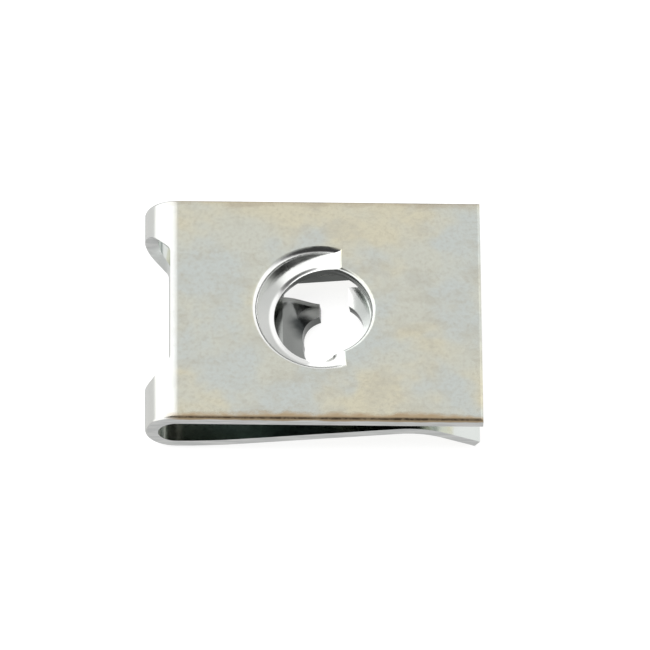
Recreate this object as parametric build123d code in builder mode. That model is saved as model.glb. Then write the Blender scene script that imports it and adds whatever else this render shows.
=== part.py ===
from build123d import *
from build123d.topology import SkipClean
import os
from math import atan2, cos, degrees, radians, sin

os.makedirs("parts", exist_ok=True)

# Every length is in millimetres and every angle in degrees. While the clip is
# being shaped, the clearance hole's axis is X = 0, Y = 0, the upper leg is
# level and the lowest line of the fold is Z = 0. +X is the open end.

# The sheet and the folded outline
sheet = 0.7             # spring steel, thickness
clip_width = 13.2
hole_to_end = 8.5       # hole axis to the open end of the upper leg
hole_to_fold = 7.8      # hole axis to the line where the upper leg starts to bend
fold_radius = 1.7       # outside of the fold
settle_radius = 21.6    # slow bend that lifts the lower leg towards the upper one
leg_angle = 9.1         # rise of the lower leg
leg_run = 8.6           # straight part of the lower leg
crest_radius = 3.5      # under the crest, where the legs pinch the panel
flare_angle = 27.6      # fall of the lead-in lip
flare_run = 2.06

# The window that relieves the middle of the fold: angle round the fold, half width
window_stations = ((13, 3.25), (26, 3.68), (40, 4.05), (54, 4.32), (68, 4.44), (90, 4.48),
                   (112, 4.40), (126, 4.24), (140, 4.04), (154, 3.76), (167, 3.45))
window_y = 0.35         # the window's middle, off the clip's
window_corner = 0.45

# The clearance hole in the upper leg and the half collar pressed down beside it
hole_radius = 2.6
rim_roll = 0.22         # rounded rim where the hole is flush with the leg
shear_depth = 1.25      # the pierced wall is straight down to here
break_angle = 8         # and breaks outwards below
collar_x = -0.1         # the collar's own axis, a little off the hole's
collar_y = 0.1
shoulder_radius = 3.88  # where the collar's shoulder leaves the flat
wall_radius = 3.42      # where the shoulder turns into the steep wall
shoulder_drop = 0.3
wall_draft = 0.1        # how far the wall closes in for each millimetre down
drawn_sheet = 0.58      # sheet thinned by drawing

# The collar's floor, as height against X, at stations across the width
floor_x = (-4.6, -3.1, -1.9, -0.9, 0.0, 0.75, 1.3, 2.7)
floor_rows = (
    (-4.3, (-1.10, -1.10, -1.12, -1.12, -0.95, -0.52, -0.12, 0.95)),
    (-2.6, (-1.10, -1.12, -1.15, -1.15, -0.87, -0.30, 0.09, 0.95)),
    (0.0, (-0.85, -0.95, -1.18, -1.05, -0.72, -0.28, 0.08, 0.90)),
    (2.6, (-1.20, -1.05, -0.86, -0.64, -0.40, -0.12, 0.12, 0.65)),
    (4.3, (-1.20, -1.05, -0.90, -0.68, -0.42, -0.16, 0.07, 0.60)),
)

# The thread impression in the lower leg
impression_x = 0.57     # its axis, off the hole's axis
impression_y = -0.5
opening_half = 2.7      # half length of the opening, along the leg
opening_reach = 3.45    # half width of the opening
root_radius = 1.68
relief_shift = -0.65    # the fold prong is cut back beside the root circle
# edges of the prongs, across the leg from their axis
prong_near = -2.2
fold_prong_far = 2.3
end_prong_far = 2.45
# distance in from the opening's end, then surface height at the near and far edges
fold_prong = ((0.0, 0.0, 0.0), (0.4, -0.06, -0.10), (1.1, -0.27, -0.56), (1.88, -0.50, -1.05))
end_prong = ((0.0, 0.0, 0.0), (0.4, -0.05, 0.06), (1.1, -0.22, 0.26), (1.8, -0.46, 0.38))

edge_roll = 0.18        # rolled edge left by blanking, on the outer side


height = 2 * fold_radius
rise = radians(leg_angle)


# Upper leg: flat strip with the clearance hole and its half collar
def collar_wall(reach, drop, top):
    """Profile of the space inside the collar's wall, drawn beside its axis."""
    wall_foot = (wall_radius + reach - wall_draft * 2.2, height - drop - 2.2)
    wall_head = (wall_radius + reach, height - drop - shoulder_drop)
    flat_edge = (shoulder_radius + reach, height - drop)
    with BuildPart() as wall_space:
        with BuildSketch(Plane.XZ):
            with BuildLine():
                Line(wall_foot, wall_head)
                shoulder = ThreePointArc(
                    wall_head,
                    (wall_radius + reach + 0.115, height - drop - 0.11),
                    flat_edge,
                )
                outer = shoulder @ 1 + Vector(0.7, 0.16)
                Polyline(
                    shoulder @ 1,
                    outer,
                    (outer.X, top),
                    (0, top),
                    (0, wall_foot[1]),
                    wall_foot,
                )
            make_face()
        revolve(axis=Axis.Z)
    return Pos(collar_x, collar_y, 0) * wall_space.part


def above_floor(lowered):
    """Everything over the collar's sloping floor."""
    with BuildPart() as floor_space:
        for station, heights in floor_rows:
            with BuildSketch(Plane.XZ.offset(-station)):
                with BuildLine():
                    floor_line = Spline(
                        *[(x, height + h - lowered) for x, h in zip(floor_x, heights)]
                    )
                    Polyline(
                        floor_line @ 1,
                        (floor_x[-1], height + 2.5),
                        (floor_x[0], height + 2.5),
                        floor_line @ 0,
                    )
                make_face()
        loft()
    return floor_space.part


collar_bulge = collar_wall(drawn_sheet, sheet - 0.05, height - 0.3) & above_floor(drawn_sheet)
collar_hollow = collar_wall(0, 0, height + 2) & above_floor(0)

with BuildPart() as rim_tool:
    with BuildSketch(Plane.XZ):
        with BuildLine():
            rim = RadiusArc(
                (hole_radius, height - rim_roll),
                (hole_radius + rim_roll, height),
                rim_roll,
            )
            Polyline(
                rim @ 1,
                (hole_radius + rim_roll, height + 1),
                (0, height + 1),
                (0, height - sheet),
                (hole_radius, height - sheet),
                rim @ 0,
            )
        make_face()
    revolve(axis=Axis.Z)

with BuildPart() as hole_tool:
    with BuildSketch(Plane.XZ):
        with BuildLine():
            Polyline(
                (0, height - sheet),
                (hole_radius, height - sheet),
                (hole_radius, height - shear_depth),
                (hole_radius + sin(radians(break_angle)), height - shear_depth - cos(radians(break_angle))),
                (0, height - shear_depth - cos(radians(break_angle))),
                close=True,
            )
        make_face()
    revolve(axis=Axis.Z)

with BuildPart() as upper_leg:
    with BuildSketch(Plane.XZ):
        with Locations(((hole_to_end - hole_to_fold) / 2, height - sheet / 2)):
            Rectangle(hole_to_end + hole_to_fold, sheet)
    extrude(amount=clip_width / 2, both=True)
    outline = upper_leg.faces().sort_by(Axis.Z)[-1].edges().sort_by(Axis.X)[1:]
    fillet(outline, edge_roll)
    add(collar_bulge)
    add(collar_hollow, mode=Mode.SUBTRACT)
    # the wall keeps an upper band, where it is flush, and a lower one in the collar
    with SkipClean():
        add(rim_tool.part, mode=Mode.SUBTRACT, clean=False)
        add(hole_tool.part, mode=Mode.SUBTRACT, clean=False)


# Fold and lower leg: one strip that runs on from the upper leg
with BuildPart() as fold_strip:
    with BuildSketch(Plane.XZ):
        with BuildLine() as under_line:
            fold = JernArc((-hole_to_fold, height), (-1, 0), fold_radius, 180)
            settle = JernArc(fold @ 1, fold % 1, settle_radius, leg_angle)
            leg = Line(settle @ 1, settle @ 1 + (settle % 1) * leg_run)
            crest = JernArc(leg @ 1, leg % 1, crest_radius, -(leg_angle + flare_angle))
            flare = Line(crest @ 1, crest @ 1 + (crest % 1) * flare_run)
            offset(amount=sheet, side=Side.LEFT)
        make_face()
    extrude(amount=clip_width / 2, both=True)
    outer_edges = []
    for edge in fold_strip.edges():
        middle = edge @ 0.5
        beside = Vertex(middle.X, middle.Z, 0)
        on_outside = min(line.distance_to(beside) for line in (fold, settle, leg, crest, flare)) < 0.01
        if on_outside and abs(abs(middle.Y) - clip_width / 2) < 0.01:
            outer_edges.append(edge)
    fillet(outer_edges, edge_roll)

flare_foot = flare @ 1
leg_start = settle @ 1

with BuildPart() as window_tool:
    for angle, half_width in window_stations:
        outward = Vector(-sin(radians(angle)), 0, cos(radians(angle)))
        station = Plane(
            origin=(-hole_to_fold, 0, fold_radius),
            x_dir=outward,
            z_dir=outward.cross(Vector(0, 1, 0)),
        )
        with BuildSketch(station):
            with Locations((fold_radius - 0.2, window_y)):
                Rectangle(1.8, 2 * half_width)
    loft()
    ends = [window_tool.faces().filter_by(GeomType.PLANE).sort_by(Axis.Z)[place] for place in (0, -1)]
    corners = [edge for end in ends for edge in end.edges() if abs((edge % 0.5).Y) < 0.1]
    fillet(corners, window_corner)

# The lower leg's own plane: its upper face, at the impression's axis
leg_top_z = leg_start.Y + sheet / cos(rise) + (impression_x - leg_start.X) * sin(rise) / cos(rise)
leg_plane = Plane(
    origin=(impression_x, impression_y, leg_top_z),
    x_dir=(cos(rise), 0, sin(rise)),
    z_dir=(-sin(rise), 0, cos(rise)),
)


def prong(side, far_edge, stations):
    """One prong, lofted from the end of the opening to its tip."""
    with BuildPart() as tongue:
        for run, near, far in stations:
            with BuildSketch(
                Plane(
                    origin=leg_plane.from_local_coords((side * (opening_half - run), 0, 0)),
                    x_dir=(0, 1, 0),
                    z_dir=leg_plane.x_dir,
                )
            ):
                with BuildLine():
                    Polyline(
                        (prong_near, near),
                        (far_edge, far),
                        (far_edge, far - sheet),
                        (prong_near, near - sheet),
                        close=True,
                    )
                make_face()
        loft()
    return tongue.part


with BuildPart() as root_tool:
    with BuildSketch(leg_plane.offset(-3)):
        Circle(root_radius)
    extrude(amount=5)

with BuildPart() as relief_tool:
    with BuildSketch(leg_plane.offset(-3)):
        with Locations((0, relief_shift)):
            Circle(root_radius - 0.02)
    extrude(amount=5)

with BuildPart() as prongs:
    add(prong(-1, fold_prong_far, fold_prong))
    add(relief_tool.part, mode=Mode.SUBTRACT)
    add(prong(1, end_prong_far, end_prong))
    add(root_tool.part, mode=Mode.SUBTRACT)

with BuildPart() as lower_leg:
    add(fold_strip.part)
    add(window_tool.part, mode=Mode.SUBTRACT)
    with BuildSketch(leg_plane.offset(0.3)):
        Rectangle(2 * opening_half, 2 * opening_reach)
    extrude(amount=-sheet - 0.6, mode=Mode.SUBTRACT)
    add(prongs.part)

with BuildPart() as level_clip:
    with SkipClean():
        add(upper_leg.part, clean=False)
        add(lower_leg.part, clean=False)

# The clip lies on its fold and on the foot of its lip, so it leans a little
rest_lean = degrees(atan2(flare_foot.Y, flare_foot.X + hole_to_fold))
leaning = level_clip.part.rotate(Axis.Y, rest_lean)
reach = leaning.bounding_box()

with BuildPart() as spring_clip:
    add(Pos(-reach.center().X, 0, -reach.min.Z) * leaning, clean=False)

spring_clip.part.label = "spring_clip"
export_step(spring_clip.part, "parts/spring_clip.step")
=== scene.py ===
from math import cos, radians, sin

import bmesh
import bpy
from mathutils import Matrix, Vector


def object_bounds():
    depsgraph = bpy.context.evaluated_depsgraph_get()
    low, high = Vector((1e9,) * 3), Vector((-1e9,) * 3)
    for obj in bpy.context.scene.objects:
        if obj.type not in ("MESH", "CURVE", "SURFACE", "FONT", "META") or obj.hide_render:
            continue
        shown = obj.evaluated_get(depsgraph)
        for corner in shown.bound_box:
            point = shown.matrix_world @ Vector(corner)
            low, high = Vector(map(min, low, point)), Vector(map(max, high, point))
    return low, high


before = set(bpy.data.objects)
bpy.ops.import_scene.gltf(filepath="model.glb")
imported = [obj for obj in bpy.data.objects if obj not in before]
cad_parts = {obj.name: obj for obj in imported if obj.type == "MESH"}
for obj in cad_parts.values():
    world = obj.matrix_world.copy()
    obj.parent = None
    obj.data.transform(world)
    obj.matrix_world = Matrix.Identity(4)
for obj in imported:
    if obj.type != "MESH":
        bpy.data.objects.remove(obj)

cadBox = [list(corner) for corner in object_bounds()]
print("frame loaded", cadBox)

# Where the viewer stands, looking down on the clip from its front edge
viewSettings = {
    "azimuth": -2.2,          # degrees round the clip, minus is towards the fold
    "elevation": 62.2,
    "roll": 2.0,
    "distance": 0.50,         # metres
    "frameWidth": 0.03490,    # metres seen across the frame at the target
    "target": (0.0, 0.0, 0.0017),
    "shift": (0.0186, 0.0),
    "sensorWidth": 36.0,      # millimetres
    "nearLimit": 0.01,
    "farLimit": 20.0,
}


def placeCamera(settings):
    azimuth = radians(settings["azimuth"])
    elevation = radians(settings["elevation"])
    target = Vector(settings["target"])
    back = Vector((sin(azimuth) * cos(elevation), -cos(azimuth) * cos(elevation), sin(elevation)))
    right = Vector((cos(azimuth), sin(azimuth), 0.0))
    up = back.cross(right)
    turn = Matrix((right, up, back)).transposed()
    roll = Matrix.Rotation(radians(settings["roll"]), 3, "Z")
    camera = bpy.data.cameras.new("viewCamera")
    camera.sensor_width = settings["sensorWidth"]
    camera.lens = settings["sensorWidth"] * settings["distance"] / settings["frameWidth"]
    camera.shift_x, camera.shift_y = settings["shift"]
    camera.clip_start = settings["nearLimit"]
    camera.clip_end = settings["farLimit"]
    cameraObject = bpy.data.objects.new("viewCamera", camera)
    stand = Matrix.Translation(target + back * settings["distance"])
    cameraObject.matrix_world = stand @ (turn @ roll).to_4x4()
    bpy.context.collection.objects.link(cameraObject)
    bpy.context.scene.camera = cameraObject


placeCamera(viewSettings)
bpy.context.scene.view_settings.view_transform = "Standard"
print("camera placed")


# Small helpers for node trees
def newMaterial(name):
    material = bpy.data.materials.new(name)
    material.use_nodes = True
    tree = material.node_tree
    tree.nodes.clear()
    output = tree.nodes.new("ShaderNodeOutputMaterial")
    shader = tree.nodes.new("ShaderNodeBsdfPrincipled")
    tree.links.new(shader.outputs["BSDF"], output.inputs["Surface"])
    return material, tree, shader


def noise(tree, vector, settings):
    node = tree.nodes.new("ShaderNodeTexNoise")
    for name, number in settings.items():
        node.inputs[name.capitalize()].default_value = number
    tree.links.new(vector, node.inputs["Vector"])
    return node.outputs["Fac"]


def mapped(tree, vector, change, numbers):
    node = tree.nodes.new("ShaderNodeMapping")
    node.inputs[change].default_value = numbers
    tree.links.new(vector, node.inputs["Vector"])
    return node.outputs["Vector"]


def separated(tree, vector):
    node = tree.nodes.new("ShaderNodeSeparateXYZ")
    tree.links.new(vector, node.inputs["Vector"])
    return node.outputs


def flattened(tree, along, across):
    node = tree.nodes.new("ShaderNodeCombineXYZ")
    tree.links.new(along, node.inputs["X"])
    tree.links.new(across, node.inputs["Y"])
    return node.outputs["Vector"]


def distance(tree, vector, place=(0.0, 0.0, 0.0)):
    node = tree.nodes.new("ShaderNodeVectorMath")
    node.operation = "DISTANCE"
    tree.links.new(vector, node.inputs[0])
    node.inputs[1].default_value = place
    return node.outputs["Value"]


def remap(tree, value, fromLow, fromHigh, toLow=0.0, toHigh=1.0):
    node = tree.nodes.new("ShaderNodeMapRange")
    node.interpolation_type = "SMOOTHSTEP"
    node.inputs["From Min"].default_value = fromLow
    node.inputs["From Max"].default_value = fromHigh
    node.inputs["To Min"].default_value = toLow
    node.inputs["To Max"].default_value = toHigh
    tree.links.new(value, node.inputs["Value"])
    return node.outputs["Result"]


def combine(tree, operation, *values):
    node = tree.nodes.new("ShaderNodeMath")
    node.operation = operation
    for socket, value in zip(node.inputs, values):
        if isinstance(value, (int, float)):
            socket.default_value = value
        else:
            tree.links.new(value, socket)
    return node.outputs["Value"]


def product(tree, *values):
    result = values[0]
    for value in values[1:]:
        result = combine(tree, "MULTIPLY", result, value)
    return result


def tint(tree, base, colour, amount):
    node = tree.nodes.new("ShaderNodeMix")
    node.data_type = "RGBA"
    tree.links.new(amount, node.inputs["Factor"])
    if isinstance(base, tuple):
        node.inputs["A"].default_value = (*base, 1.0)
    else:
        tree.links.new(base, node.inputs["A"])
    node.inputs["B"].default_value = (*colour, 1.0)
    return node.outputs["Result"]


def bump(tree, height, strength=1.0, reach=1.0):
    node = tree.nodes.new("ShaderNodeBump")
    node.inputs["Strength"].default_value = strength
    node.inputs["Distance"].default_value = reach
    tree.links.new(height, node.inputs["Height"])
    return node


# Zinc plated spring steel, with a faint passivation and a brown stain at its long edges.
# Lengths are in metres and noise scales are per metre, with the clip as it lies
steelFinish = {
    "metallic": 1.0,
    "zincGrey": (0.735, 0.745, 0.655),
    # colours over the grey, in the order that they are laid on, each where its mask is
    "layers": {
        "yellow": (0.810, 0.760, 0.575),
        "blue": (0.685, 0.730, 0.705),
        "dark": (0.600, 0.585, 0.500),
        "speck": (0.500, 0.455, 0.370),
        "worked": (0.700, 0.712, 0.700),
        "cut": (0.650, 0.660, 0.650),
        "cutStreak": (0.780, 0.785, 0.770),
        "stain": (0.500, 0.390, 0.255),
        "stainCore": (0.100, 0.070, 0.045),
        # painted shade: the wall of the hole darkened as if in shadow
        "piercedWallShade": (0.125, 0.132, 0.125),
        # painted highlight on the collar's shoulder and on the sunken rim
        "paintedHighlight": (0.970, 0.975, 0.960),
        "inner": (0.715, 0.745, 0.720),
        # painted shade on the wall of the opening in the lower leg
        "openingWallShade": (0.125, 0.132, 0.125),
        # painted shade between the two legs
        "gapShade": (0.200, 0.245, 0.240),
        # painted shade on the low prong, with a painted highlight at its tip and deeper painted shade
        # at its middle
        "prong": (0.290, 0.300, 0.290),
        "prongTipHighlight": (0.800, 0.815, 0.795),
        "prongMiddleShade": (0.050, 0.055, 0.055),
    },
    "noises": {
        "patches": {"scale": 240.0, "detail": 3.0, "roughness": 0.55, "distortion": 0.3},
        "hue": {"scale": 240.0, "detail": 3.0, "roughness": 0.55},
        "clouds": {"scale": 1000.0, "detail": 4.0, "roughness": 0.6, "distortion": 0.3},
        "specks": {"scale": 4200.0, "detail": 3.0, "roughness": 0.7},
        "streaks": {"scale": 4200.0, "detail": 3.0, "roughness": 0.6},
        "grain": {"scale": 9000.0, "detail": 3.0, "roughness": 0.6},
    },
    "rollingStretch": (0.6, 1.0, 1.0),      # patches and clouds run along the strip
    "shearStretch": (0.12, 1.0, 1.0),       # streaks run further
    "hueShift": (0.031, 0.017, 0.0),
    # what a fade reads at a point, where it starts and where it is full.
    # Some have their values at those two as well
    "fades": {
        "yellow": ("patches", 0.46, 0.64, 0.0, 0.85),
        "blue": ("hue", 0.45, 0.62, 0.0, 0.9),
        "dark": ("clouds", 0.44, 0.72, 0.0, 0.6),
        "speck": ("specks", 0.40, 0.75, 0.0, 0.3),
        "streak": ("streaks", 0.42, 0.62),
        "roughness": ("clouds", 0.3, 0.7, 0.14, 0.23),
        "cut": ("sideways", 0.70, 0.92),
        "upright": ("level", 0.5, 0.3),
        "faceUp": ("upwards", 0.2, 0.5),
        "upperLeg": ("z", 0.00185, 0.00195),
        "lowerLeg": ("legHeight", 0.0021, 0.0018),
        "bent": ("x", -0.0071, -0.0075),
        "drawnRing": ("fromCollar", 0.0040, 0.0038),
        "drawnDepth": ("depth", 0.00002, 0.00008),
        "stainTop": ("rollDepth", 0.00006, -0.00002),
        "stainSide": ("y", 0.002, -0.002, 0.35, 1.0),
        "stainStart": ("x", -0.0082, -0.0070),
        "stainHalo": ("stainReach", 0.00004, -0.00034),
        "stainCore": ("coreReach", 0.00009, -0.00002),
        "coreSpeck": ("specks", 0.35, 0.60, 0.45, 0.95),
        # where the painted shade lies on the wall of the hole
        "wallInside": ("fromWall", -0.00008, -0.00003),
        "wallOutside": ("fromWall", 0.00026, 0.00020),
        # where the painted highlight lies on the collar's shoulder and on the sunken rim
        "shoulderInside": ("fromCollar", 0.00335, 0.00350),
        "shoulderOutside": ("fromCollar", 0.00402, 0.00390),
        "shoulderTop": ("depth", 0.00001, 0.00004),
        "shoulderFoot": ("depth", 0.0006, 0.0004),
        "shoulderEnd": ("x", 0.0018, 0.0015),
        "sunken": ("depth", 0.00030, 0.00050),
        "rimHighlight": ("fromWall", 0.00034, 0.00018),
        "rimRoll": ("fromWall", 0.0, 0.0003, -0.00006, 0.0),
        # where the painted shade lies on the opening's wall and between the legs
        "openingSides": ("aside", 0.0037, 0.0035),
        "openingEnds": ("away", 0.0045, 0.0040),
        "gapAtFold": ("x", -0.0073, -0.0069),
        "gapAtLip": ("x", 0.0064, 0.0050),
        "gapSides": ("aside", 0.0034, 0.0037),
        # where the painted shade and the painted highlight lie on the low prong
        "prongAtHole": ("x", 0.0016, 0.0010),
        "prongAtFold": ("x", -0.0040, -0.0025),
        "prongSides": ("aside", 0.0036, 0.0030),
        "prongRoot": ("fromRoot", 0.0026, 0.0020),
        "prongFarHalf": ("y", 0.00020, 0.00110),
        "prongFarEdge": ("y", 0.00140, 0.00166),
        "prongMiddleShade": ("middleReach", 0.0015, 0.0006),
    },
    "crestRise": (0.0015, 0.0030, 0.0, 0.0006),     # X where the lower leg climbs, and its climb
    "holePlace": 0.0004485,       # the hole's axis along X at the table
    "holeLean": 0.0203,           # and how far it leans in a metre
    "holeRadius": 0.0026,
    "topHeight": 0.003494,        # the upper leg's top at X = 0
    "collarAxis": (0.00042, 0.00010, 0.0),
    "rootAxis": (0.00108, -0.00050, 0.0),
    "prongCentre": (-0.00055, 0.00020, 0.0),
    "unevenReach": 0.0009,        # how far the clouds move the stain's edge
    "rollUneven": 0.4,            # the share of it over the edge's roll
    "coreUneven": 0.14,           # and at the stain's dark core
    "coreDrop": 1.2,              # the core is thinner down the cut edge than across the face
    "workedAmount": 0.88,
    "cutRoughness": 0.40,
    "dullRoughness": 0.55,        # of the stain and of the prong's tip
    "grainStrength": 0.5,
    "grainHeight": 0.000003,
    "cloudBump": 2.0,             # the clouds' share of the bump, beside the grain's
}


# What the fades read at a point: noise, its place on the clip and the way that it faces
def readNoises(tree, finish, where):
    alongStrip = mapped(tree, where, "Scale", finish["rollingStretch"])
    vectors = {
        "patches": alongStrip,
        "hue": mapped(tree, where, "Location", finish["hueShift"]),
        "clouds": alongStrip,
        "specks": where,
        "streaks": mapped(tree, where, "Scale", finish["shearStretch"]),
        "grain": where,
    }
    return {name: noise(tree, vector, finish["noises"][name]) for name, vector in vectors.items()}


def readPlace(tree, finish, where, halfWidth):
    place = separated(tree, where)
    flat = flattened(tree, place["X"], place["Y"])
    aside = combine(tree, "ABSOLUTE", place["Y"])
    legRise = remap(tree, place["X"], *finish["crestRise"])
    topPlace = combine(tree, "MULTIPLY_ADD", place["X"], -finish["holeLean"], finish["topHeight"])
    axisPlace = combine(tree, "MULTIPLY_ADD", place["Z"], finish["holeLean"], finish["holePlace"])
    fromAxis = flattened(tree, combine(tree, "SUBTRACT", place["X"], axisPlace), place["Y"])
    return {
        "x": place["X"],
        "y": place["Y"],
        "z": place["Z"],
        "away": combine(tree, "ABSOLUTE", place["X"]),
        "aside": aside,
        "fromEdge": combine(tree, "SUBTRACT", halfWidth, aside),
        "depth": combine(tree, "SUBTRACT", topPlace, place["Z"]),
        "legHeight": combine(tree, "SUBTRACT", place["Z"], legRise),
        "fromWall": combine(tree, "SUBTRACT", distance(tree, fromAxis), finish["holeRadius"]),
        "fromCollar": distance(tree, flat, finish["collarAxis"]),
        "fromRoot": distance(tree, flat, finish["rootAxis"]),
        "fromMiddle": distance(tree, flat, finish["prongCentre"]),
    }


def readFacing(tree, normal):
    facing = separated(tree, normal)
    return {
        "upwards": facing["Z"],
        "level": combine(tree, "ABSOLUTE", facing["Z"]),
        "sideways": combine(tree, "ABSOLUTE", facing["Y"]),
    }


# Distances that the clouds make uneven
def readUneven(tree, finish, point):
    uneven = product(tree, point["clouds"], finish["unevenReach"])
    rollUneven = product(tree, uneven, finish["rollUneven"])
    coreUneven = product(tree, uneven, finish["coreUneven"])
    edgeDrop = product(tree, point["depth"], finish["coreDrop"])
    fromRoll = combine(tree, "MAXIMUM", point["fromEdge"], edgeDrop)
    return {
        "rollDepth": combine(tree, "SUBTRACT", point["depth"], rollUneven),
        "stainReach": combine(tree, "SUBTRACT", point["fromEdge"], uneven),
        "coreReach": combine(tree, "SUBTRACT", fromRoll, coreUneven),
        "middleReach": combine(tree, "ADD", point["fromMiddle"], uneven),
    }


# The product of named fades
def mask(tree, finish, point, *names):
    fades = []
    for name in names:
        reading, *numbers = finish["fades"][name]
        fades.append(remap(tree, point[reading], *numbers))
    return product(tree, *fades)


# Tints of the passivation, and the grey where bending and drawing have taken them away
def faceMasks(tree, finish, point):
    drawn = mask(tree, finish, point, "drawnRing", "drawnDepth", "upperLeg")
    worked = combine(tree, "MAXIMUM", drawn, mask(tree, finish, point, "bent"))
    masks = {name: mask(tree, finish, point, name) for name in ("yellow", "blue", "dark", "speck")}
    masks["worked"] = product(tree, worked, finish["workedAmount"])
    return masks


# Blanked edges, torn and duller than the faces, and the stain that creeps in from the long
# ones and over their roll
def edgeMasks(tree, finish, point):
    stained = mask(tree, finish, point, "stainTop", "stainSide", "stainStart")
    return {
        "cut": mask(tree, finish, point, "cut"),
        "cutStreak": mask(tree, finish, point, "cut", "streak"),
        "stain": product(tree, stained, mask(tree, finish, point, "stainHalo")),
        "stainCore": product(tree, stained, mask(tree, finish, point, "stainCore", "coreSpeck")),
    }


# Painted shade that darkens the wall of the hole, and a painted highlight on the collar's
# shoulder and on the sunken rim
def holeMasks(tree, finish, point):
    sunken = mask(tree, finish, point, "sunken", "upperLeg")
    sunkenRim = product(tree, sunken, mask(tree, finish, point, "rimHighlight"))
    acrossShoulder = mask(tree, finish, point, "shoulderInside", "shoulderOutside", "shoulderEnd")
    downShoulder = mask(tree, finish, point, "shoulderTop", "shoulderFoot")
    shoulder = product(tree, acrossShoulder, downShoulder)
    paintedHighlight = combine(tree, "MAXIMUM", shoulder, sunkenRim)
    return {
        "piercedWallShade": mask(tree, finish, point, "upright", "wallInside", "wallOutside", "upperLeg"),
        "paintedHighlight": product(tree, paintedHighlight, mask(tree, finish, point, "faceUp")),
        "sunken": sunken,
    }


# The inner face of the lower leg, with painted shade between the legs and on the wall of the opening
# in it
def legMasks(tree, finish, point):
    inner = mask(tree, finish, point, "lowerLeg", "faceUp")
    return {
        "inner": inner,
        "openingWallShade": mask(tree, finish, point, "lowerLeg", "upright", "openingSides", "openingEnds"),
        "gapShade": product(tree, inner, mask(tree, finish, point, "gapAtFold", "gapAtLip", "gapSides")),
    }


# The low prong, with painted shade over it, a painted highlight at its tip and the deepest painted
# shade at its middle
def prongMasks(tree, finish, point):
    length = mask(tree, finish, point, "prongAtHole", "prongAtFold")
    prong = product(tree, length, mask(tree, finish, point, "lowerLeg", "prongSides", "faceUp"))
    besideRoot = mask(tree, finish, point, "prongRoot", "prongFarHalf")
    tip = combine(tree, "MAXIMUM", mask(tree, finish, point, "prongFarEdge"), besideRoot)
    return {
        "prong": prong,
        "prongTipHighlight": product(tree, prong, tip),
        "prongMiddleShade": product(tree, prong, mask(tree, finish, point, "prongMiddleShade")),
    }


# Rougher where the edge is torn or stained and at the prong's tip
def sheetRoughness(tree, finish, point, masks):
    torn = product(tree, masks["cut"], finish["cutRoughness"])
    stained = combine(tree, "MAXIMUM", masks["stain"], masks["prongTipHighlight"])
    dull = combine(tree, "MAXIMUM", torn, product(tree, stained, finish["dullRoughness"]))
    return combine(tree, "MAXIMUM", mask(tree, finish, point, "roughness"), dull)


# Fine grain over the whole sheet, and the sunken rim's roll into the hole, as a height in metres
def sheetBump(tree, finish, point, masks):
    rolled = product(tree, mask(tree, finish, point, "rimRoll"), masks["sunken"])
    rimRoll = bump(tree, rolled)
    height = combine(tree, "ADD", point["grain"], product(tree, point["clouds"], finish["cloudBump"]))
    grain = bump(tree, height, finish["grainStrength"], finish["grainHeight"])
    tree.links.new(rimRoll.outputs["Normal"], grain.inputs["Normal"])
    return grain.outputs["Normal"]


def makeSteel(finish, box):
    material, tree, shader = newMaterial("zincPlatedSpringSteel")
    coordinates = tree.nodes.new("ShaderNodeTexCoord")
    where = coordinates.outputs["Object"]
    point = readNoises(tree, finish, where)
    point.update(readPlace(tree, finish, where, box[1][1]))
    point.update(readFacing(tree, coordinates.outputs["Normal"]))
    point.update(readUneven(tree, finish, point))
    masks = {}
    for findMasks in (faceMasks, edgeMasks, holeMasks, legMasks, prongMasks):
        masks.update(findMasks(tree, finish, point))
    colour = finish["zincGrey"]
    for name, paint in finish["layers"].items():
        colour = tint(tree, colour, paint, masks[name])
    shader.inputs["Metallic"].default_value = finish["metallic"]
    tree.links.new(colour, shader.inputs["Base Color"])
    tree.links.new(sheetRoughness(tree, finish, point, masks), shader.inputs["Roughness"])
    tree.links.new(sheetBump(tree, finish, point, masks), shader.inputs["Normal"])
    return material


steel = makeSteel(steelFinish, cadBox)
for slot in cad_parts["spring_clip"].material_slots:
    slot.material = steel
print("steel finished")


# White table, lit from within so that only faint shadows show on it
floorSettings = {
    "halfSize": 0.6,
    "colour": (0.30, 0.30, 0.30),
    "roughness": 0.8,
    "specular": 0.0,
    "glowColour": (1.0, 1.0, 1.0),
    "glow": 0.82,
}


def makeFloor(settings):
    tableMesh = bmesh.new()
    bmesh.ops.create_grid(tableMesh, x_segments=1, y_segments=1, size=settings["halfSize"])
    mesh = bpy.data.meshes.new("studioFloor")
    tableMesh.to_mesh(mesh)
    tableMesh.free()
    floor = bpy.data.objects.new("studioFloor", mesh)
    bpy.context.collection.objects.link(floor)
    material, tree, shader = newMaterial("paleFloor")
    shader.inputs["Base Color"].default_value = (*settings["colour"], 1.0)
    shader.inputs["Roughness"].default_value = settings["roughness"]
    shader.inputs["Specular IOR Level"].default_value = settings["specular"]
    shader.inputs["Emission Color"].default_value = (*settings["glowColour"], 1.0)
    shader.inputs["Emission Strength"].default_value = settings["glow"]
    mesh.materials.append(material)
    floor.visible_glossy = False    # the metal mirrors the room below the horizon instead


makeFloor(floorSettings)

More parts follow.
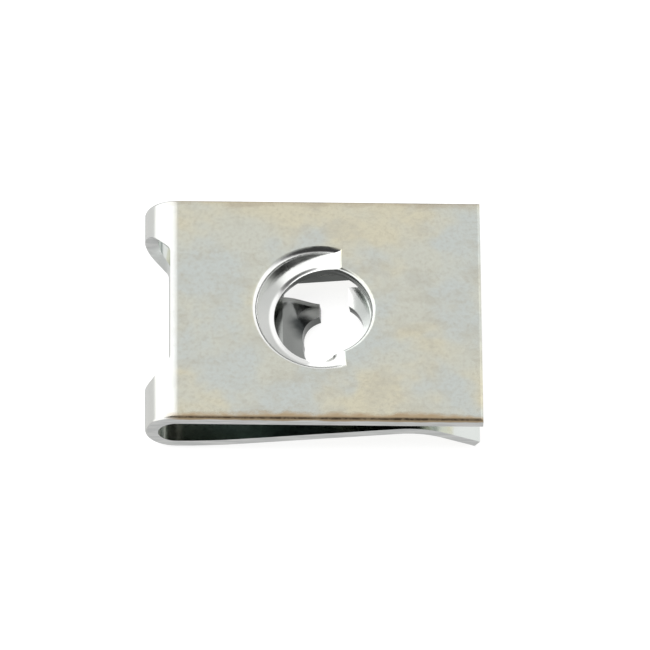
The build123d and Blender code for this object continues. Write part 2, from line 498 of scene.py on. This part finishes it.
# Brightness of the room by direction. A patch starts and is full at two cosines of the angle
# from its aim, and lies over the patches before it
skySettings = {
    "base": 0.80,
    "patches": {
        "foldEnd": {"aim": (-1.0, 0.0, 0.0), "start": 0.05, "full": 0.22, "level": 1.54},
        "openEnd": {"aim": (1.0, 0.0, 0.0), "start": 0.30, "full": 0.70, "level": 1.05},
        "nearViewer": {"aim": (0.10, -0.62, 0.78), "start": 0.62, "full": 0.93, "level": 0.04},
        "belowHorizon": {"aim": (0.0, 0.0, -1.0), "start": -0.04, "full": 0.10, "level": 0.68},
        "belowOpenEnd": {"aim": (0.70, 0.47, -0.54), "start": 0.955, "full": 0.985, "level": 1.25},
        "belowFoldEnd": {"aim": (-0.85, 0.25, -0.45), "start": 0.78, "full": 0.90, "level": 0.84},
    },
}


def makeSky(settings):
    world = bpy.data.worlds.new("studioSky")
    bpy.context.scene.world = world
    world.use_nodes = True
    tree = world.node_tree
    tree.nodes.clear()
    output = tree.nodes.new("ShaderNodeOutputWorld")
    background = tree.nodes.new("ShaderNodeBackground")
    tree.links.new(background.outputs["Background"], output.inputs["Surface"])
    direction = tree.nodes.new("ShaderNodeTexCoord").outputs["Generated"]
    brightness = (settings["base"],) * 3
    for patch in settings["patches"].values():
        dot = tree.nodes.new("ShaderNodeVectorMath")
        dot.operation = "DOT_PRODUCT"
        tree.links.new(direction, dot.inputs[0])
        dot.inputs[1].default_value = Vector(patch["aim"]).normalized()
        amount = remap(tree, dot.outputs["Value"], patch["start"], patch["full"])
        brightness = tint(tree, brightness, (patch["level"],) * 3, amount)
    tree.links.new(brightness, background.inputs["Color"])


makeSky(skySettings)

# One soft lamp, which lights the table without a glare in the metal
lampSettings = {"place": (-0.12, 0.10, 0.6), "size": 0.5, "power": 3.0}


def makeLamp(settings):
    lamp = bpy.data.lights.new("overheadSoft", "AREA")
    lamp.shape = "SQUARE"
    lamp.size = settings["size"]
    lamp.energy = settings["power"]
    lampObject = bpy.data.objects.new("overheadSoft", lamp)
    lampObject.visible_glossy = False
    place = Vector(settings["place"])
    aim = place.to_track_quat("Z", "Y").to_matrix().to_4x4()
    lampObject.matrix_world = Matrix.Translation(place) @ aim
    bpy.context.collection.objects.link(lampObject)


makeLamp(lampSettings)
print("floor and light ready")
